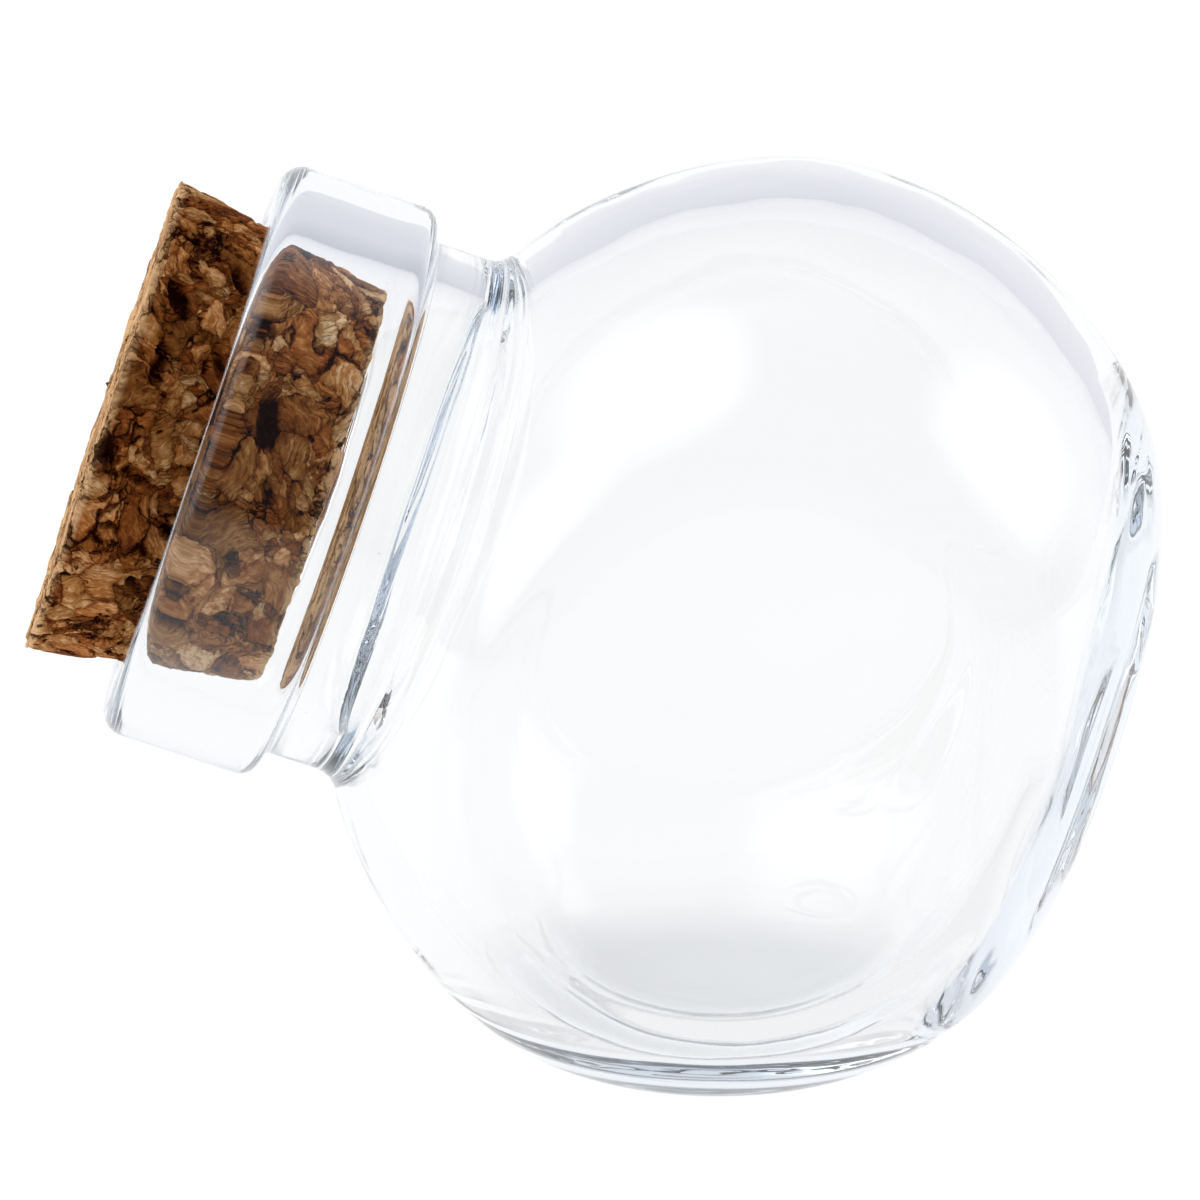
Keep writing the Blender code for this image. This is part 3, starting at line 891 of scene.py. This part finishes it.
class ROUNDJAR_OT_cork(bpy.types.Operator):
    """Turn the cork and cut its chips, in the place of the plain stopper"""
    bl_idname = "round_jar.cork"
    bl_label = "Cork stopper"
    bl_options = {"REGISTER", "UNDO"}

    def execute(self, context):
        settings = context.scene.round_jar_cork
        cork = turned("pressed_cork_stopper", cork_outline(settings.edge), CORK_TURN_STEPS)
        cutter = laid_down(crevice_cutter())
        torn = cork.modifiers.new("torn_out", "BOOLEAN")
        torn.operation = "DIFFERENCE"
        torn.solver = "EXACT"
        torn.use_self = True
        torn.object = cutter
        bpy.context.view_layer.objects.active = cork
        bpy.ops.object.modifier_apply(modifier=torn.name)
        bpy.data.objects.remove(cutter)
        remesh = cork.modifiers.new("even_mesh", "REMESH")
        remesh.mode = "VOXEL"
        remesh.voxel_size = CORK_VOXEL
        bpy.ops.object.modifier_apply(modifier=remesh.name)
        shape_by(cork, cork_relief_nodes(), Depth=settings.relief)
        bpy.ops.object.shade_smooth()
        cork.data.name = cork.name
        cork.data.materials.append(cork_material())
        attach(cork, "stopper")
        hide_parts("cork_stopper")
        return {"FINISHED"}


# How many bounces bring a ray from the camera back to the table by way of the outside of the near
# wall, or of its inside. One more is counted where it ends in the room.
OUTSIDE_MIRRORS = 1
INSIDE_MIRRORS = 3
HALF_A_BOUNCE = 0.5

TABLE_COLOUR = (0.95, 0.95, 0.95)
TABLE_ROUGHNESS = 0.9

# How much of the table is plain white rather than lit: to the eye, through glass, and through glass
# under the foot, fading between two distances from it, and as it throws light back at the jar
TABLE_SHARE_SEEN = 0.93
TABLE_SHARE_IN_GLASS = 0.85
TABLE_SHARE_UNDER_FOOT = 0.30
UNDER_FOOT = (0.010, 0.032)
TABLE_SHARE_THROWN_BACK = 0.5

# How bright that plain white is, to the eye and through glass, and as it lights the jar from below
TABLE_LEVEL = 1.03
TABLE_LEVEL_THROWN_BACK = 1.8

# How bright the table is in what the near wall mirrors: dark far in front, paler close to the jar,
# by way of each side of the wall, and white from the middle of the jar backwards
DARK_IN_FRONT = 0.05
NEAR_BY_OUTSIDE = 0.35
NEAR_BY_INSIDE = 0.95
FRONT_FADE = (-0.70, 0.05)
MIDDLE_FADE = (-0.09, 0.0)


def met_in_glass(tree, rays):
    """1 for rays that glass has mirrored or let through, 0 for others."""
    return maths(tree, "MAXIMUM", rays["Is Glossy Ray"], rays["Is Transmission Ray"])


def mirrored_by(tree, rays, bounces):
    """1 for rays that reach what is mirrored after so many bounces, 0 for others."""
    return maths(tree, "COMPARE", rays["Ray Depth"], bounces, HALF_A_BOUNCE)


def table_material():
    """A white table, near plain white to the eye and through glass, that keeps the jar's shadow.

    Where the near wall of the glass mirrors the table in front of the jar, it is dark.
    """
    made = bpy.data.materials.new("white_table")
    made.use_nodes = True
    tree = made.node_tree
    shader = tree.nodes["Principled BSDF"]
    shader.inputs["Base Color"].default_value = (*TABLE_COLOUR, 1)
    shader.inputs["Roughness"].default_value = TABLE_ROUGHNESS
    rays = add_node(tree, "ShaderNodeLightPath").outputs
    in_glass = met_in_glass(tree, rays)
    by_outside = mirrored_by(tree, rays, OUTSIDE_MIRRORS)
    by_inside = mirrored_by(tree, rays, INSIDE_MIRRORS)
    mirrored = maths(tree, "MULTIPLY", in_glass, maths(tree, "MAXIMUM", by_outside, by_inside))
    place = add_node(tree, "ShaderNodeTexCoord").outputs["Object"]
    from_foot = add_node(tree, "ShaderNodeVectorMath", {
        0: place, 1: MOUNTS["resting_foot"]["pos_m"]}, operation="DISTANCE").outputs["Value"]
    share_in_glass = ramped(
        tree, from_foot, *UNDER_FOOT, TABLE_SHARE_UNDER_FOOT, TABLE_SHARE_IN_GLASS)
    share = maths(
        tree, "MAXIMUM", maths(tree, "MULTIPLY", rays["Is Camera Ray"], TABLE_SHARE_SEEN),
        maths(tree, "MULTIPLY", in_glass, share_in_glass))
    share = maths(tree, "MAXIMUM", share, mirrored)
    share = maths(tree, "MAXIMUM", share, maths(
        tree, "MULTIPLY", rays["Is Diffuse Ray"], TABLE_SHARE_THROWN_BACK))
    near_level = between(tree, by_inside, NEAR_BY_OUTSIDE, NEAR_BY_INSIDE)
    backwards = part_of(tree, place, "Y")
    front = ramped(tree, backwards, *FRONT_FADE, DARK_IN_FRONT, near_level)
    front = maths(tree, "MAXIMUM", front, ramped(tree, backwards, *MIDDLE_FADE))
    strength = between(tree, rays["Is Diffuse Ray"], TABLE_LEVEL, TABLE_LEVEL_THROWN_BACK)
    strength = between(tree, mirrored, strength, front)
    glow = add_node(tree, "ShaderNodeEmission", {"Color": (1, 1, 1, 1), "Strength": strength})
    mixed = add_node(tree, "ShaderNodeMixShader", {0: share})
    tree.links.new(shader.outputs[0], mixed.inputs[1])
    tree.links.new(glow.outputs[0], mixed.inputs[2])
    tree.links.new(mixed.outputs[0], tree.nodes["Material Output"].inputs["Surface"])
    return made


# Soft bright windows that the glass mirrors: direction, half width as an angle, and level
WINDOWS = (
    ((-0.50, -0.03, 0.86), 0.50, 1.5),
    ((0.87, 0.08, 0.49), 0.42, 1.5),
    ((-0.86, -0.30, 0.40), 0.45, 1.6),
)

# Colours of the room to the glass, from its floor to its ceiling, and what they are multiplied by
# from in front, at 0, to behind, at 1: once for all glass, and once for what the near wall mirrors
ROOM_TONES = (
    (0.00, (1.04, 1.04, 1.05)),
    (0.17, (1.00, 1.00, 1.02)),
    (0.42, (0.95, 0.955, 0.98)),
    (0.64, (0.74, 0.75, 0.79)),
    (1.00, (0.76, 0.78, 0.82)),
)
FRONT_TONES = (
    (0.00, (0.74, 0.79, 0.84)),
    (0.45, (0.82, 0.85, 0.89)),
    (0.62, (1.0, 1.0, 1.0)),
)
MIRRORED_TONES = (
    (0.00, (0.03, 0.03, 0.03)),
    (0.42, (0.08, 0.08, 0.09)),
    (0.55, (0.25, 0.26, 0.27)),
    (0.68, (1.0, 1.0, 1.0)),
)

# How far the inside of the near wall mirrors the room in those tones, and its tint there
INSIDE_SHARE = 0.9
INSIDE_TINT = (0.69, 0.70, 0.75)

# How brightly the room lights a surface from behind and from in front, and where it changes
ROOM_LIGHT = 1.05
ROOM_LIGHT_IN_FRONT = 0.15
ROOM_LIGHT_FADE = (0.25, 0.60)


def studio_world():
    """White to the eye. A pale room to the glass, dark in front in what the near wall mirrors.

    To lit surfaces it is plain light, less of it from in front.
    """
    world = bpy.data.worlds.new("studio")
    bpy.context.scene.world = world
    world.use_nodes = True
    tree = world.node_tree
    tree.nodes.clear()
    towards = add_node(tree, "ShaderNodeTexCoord").outputs["Generated"]
    room = stops(tree, part_of(tree, towards, "Z"), *ROOM_TONES)
    backwards = maths(tree, "MULTIPLY_ADD", part_of(tree, towards, "Y"), 0.5, 0.5)
    front = stops(tree, backwards, *FRONT_TONES)
    mirrored_front = stops(tree, backwards, *MIRRORED_TONES)
    rays = add_node(tree, "ShaderNodeLightPath").outputs
    front = blended(tree, mirrored_by(tree, rays, OUTSIDE_MIRRORS + 1), front, mirrored_front)
    inside_front = blended(tree, 1.0, mirrored_front, (*INSIDE_TINT, 1), "MULTIPLY")
    front = blended(tree, maths(tree, "MULTIPLY", mirrored_by(
        tree, rays, INSIDE_MIRRORS + 1), INSIDE_SHARE), front, inside_front)
    room = blended(tree, 1.0, room, front, "MULTIPLY")
    for direction, spread, level in WINDOWS:
        near = dot(tree, towards, Vector(direction).normalized())
        glow = ramped(tree, near, math.cos(spread), 1.0, 0.0, level)
        room = blended(tree, 1.0, room, glow, "ADD")
    lit = ramped(tree, backwards, *ROOM_LIGHT_FADE, ROOM_LIGHT_IN_FRONT, ROOM_LIGHT)
    seen = blended(tree, met_in_glass(tree, rays), lit, room)
    seen = blended(tree, rays["Is Camera Ray"], seen, (1, 1, 1, 1))
    background = add_node(tree, "ShaderNodeBackground", {"Color": seen, "Strength": 1.0})
    out = tree.nodes.new("ShaderNodeOutputWorld")
    tree.links.new(background.outputs[0], out.inputs["Surface"])


# Lamps: name, place, length of the sides and power in watts
SOFTBOXES = (
    ("top_softbox", (-0.35, 0.05, 1.12), 0.50, 3.0),
    ("left_softbox", (-1.05, 0.10, 0.55), 0.60, 3.0),
    ("right_softbox", (1.05, 0.15, 0.64), 0.60, 2.0),
)


def softbox(name, place, size, watts):
    """A large square lamp that faces the jar and lights it, but isn't mirrored in the glass."""
    bpy.ops.object.light_add(type="AREA", location=place)
    lamp = bpy.context.object
    lamp.name = name
    lamp.data.size = size
    lamp.data.energy = watts
    lamp.visible_glossy = False
    lamp.visible_transmission = False
    towards = BELLY_CENTRE - Vector(place)
    lamp.rotation_euler = towards.to_track_quat("-Z", "Y").to_euler()


# Light runs along inside the thick base, turned back many times before it comes out
GLASS_BOUNCES = 24

# Where the camera aims: the real size of a pixel at the belly, the pixel of the belly's middle and
# that of the middle of the frame. After them, the nearest that it sees
SCALE_AT_BELLY = 0.00009
BELLY_PIXEL = (731, 623)
MIDDLE_PIXEL = (600, 600)
NEAREST_SEEN = 0.01


class ROUNDJAR_OT_studio(bpy.types.Operator):
    """Set the table, the light and the camera"""
    bl_idname = "round_jar.studio"
    bl_label = "Studio"
    bl_options = {"REGISTER", "UNDO"}

    def execute(self, context):
        studio = context.scene.round_jar_studio
        bpy.ops.object.select_all(action="DESELECT")
        bpy.ops.mesh.primitive_plane_add(size=studio.table_size)
        table = context.object
        table.name = "white_table"
        table.data.materials.append(table_material())
        studio_world()
        for lamp in SOFTBOXES:
            softbox(*lamp)

        turn, rise = studio.azimuth, studio.elevation
        back = Vector((
            math.sin(turn) * math.cos(rise), -math.cos(turn) * math.cos(rise), math.sin(rise)))
        right = Vector((math.cos(turn), math.sin(turn), 0))
        up = back.cross(right)
        aside = (MIDDLE_PIXEL[0] - BELLY_PIXEL[0]) * SCALE_AT_BELLY
        raised = (BELLY_PIXEL[1] - MIDDLE_PIXEL[1]) * SCALE_AT_BELLY
        target = BELLY_CENTRE + right * aside + up * raised
        place = BELLY_CENTRE + back * studio.camera_distance
        bpy.ops.object.camera_add(location=place)
        camera = context.object
        camera.rotation_euler = (target - place).to_track_quat("-Z", "Y").to_euler()
        camera.data.lens = studio.lens
        camera.data.clip_start = NEAREST_SEEN
        context.scene.camera = camera

        view = context.scene.view_settings
        view.view_transform = "Standard"
        cycles = context.scene.cycles
        cycles.max_bounces = GLASS_BOUNCES
        cycles.transmission_bounces = GLASS_BOUNCES
        cycles.glossy_bounces = GLASS_BOUNCES
        return {"FINISHED"}


class ROUNDJAR_PT_sidebar(bpy.types.Panel):
    """Lists the jar's pieces, its studio and their settings"""
    bl_idname = "ROUNDJAR_PT_sidebar"
    bl_label = "Round jar"
    bl_space_type = "VIEW_3D"
    bl_region_type = "UI"
    bl_category = "Round jar"

    def draw(self, context):
        scene = context.scene
        for operator, settings in (
                (ROUNDJAR_OT_glass, scene.round_jar_glass),
                (ROUNDJAR_OT_cork, scene.round_jar_cork),
                (ROUNDJAR_OT_studio, scene.round_jar_studio)):
            box = self.layout.box()
            box.operator(operator.bl_idname)
            for name in settings.__annotations__:
                box.prop(settings, name)


CLASSES = (
    RoundJarGlass, RoundJarCork, RoundJarStudio, ROUNDJAR_OT_glass, ROUNDJAR_OT_cork,
    ROUNDJAR_OT_studio, ROUNDJAR_PT_sidebar)


def register():
    for kind in CLASSES:
        bpy.utils.register_class(kind)
    bpy.types.Scene.round_jar_glass = PointerProperty(type=RoundJarGlass)
    bpy.types.Scene.round_jar_cork = PointerProperty(type=RoundJarCork)
    bpy.types.Scene.round_jar_studio = PointerProperty(type=RoundJarStudio)


def unregister():
    del bpy.types.Scene.round_jar_studio
    del bpy.types.Scene.round_jar_cork
    del bpy.types.Scene.round_jar_glass
    for kind in reversed(CLASSES):
        bpy.utils.unregister_class(kind)


def main():
    register()
    bpy.ops.round_jar.studio()
    bpy.ops.round_jar.glass()
    bpy.ops.round_jar.cork()


if __name__ == "__main__":
    main()
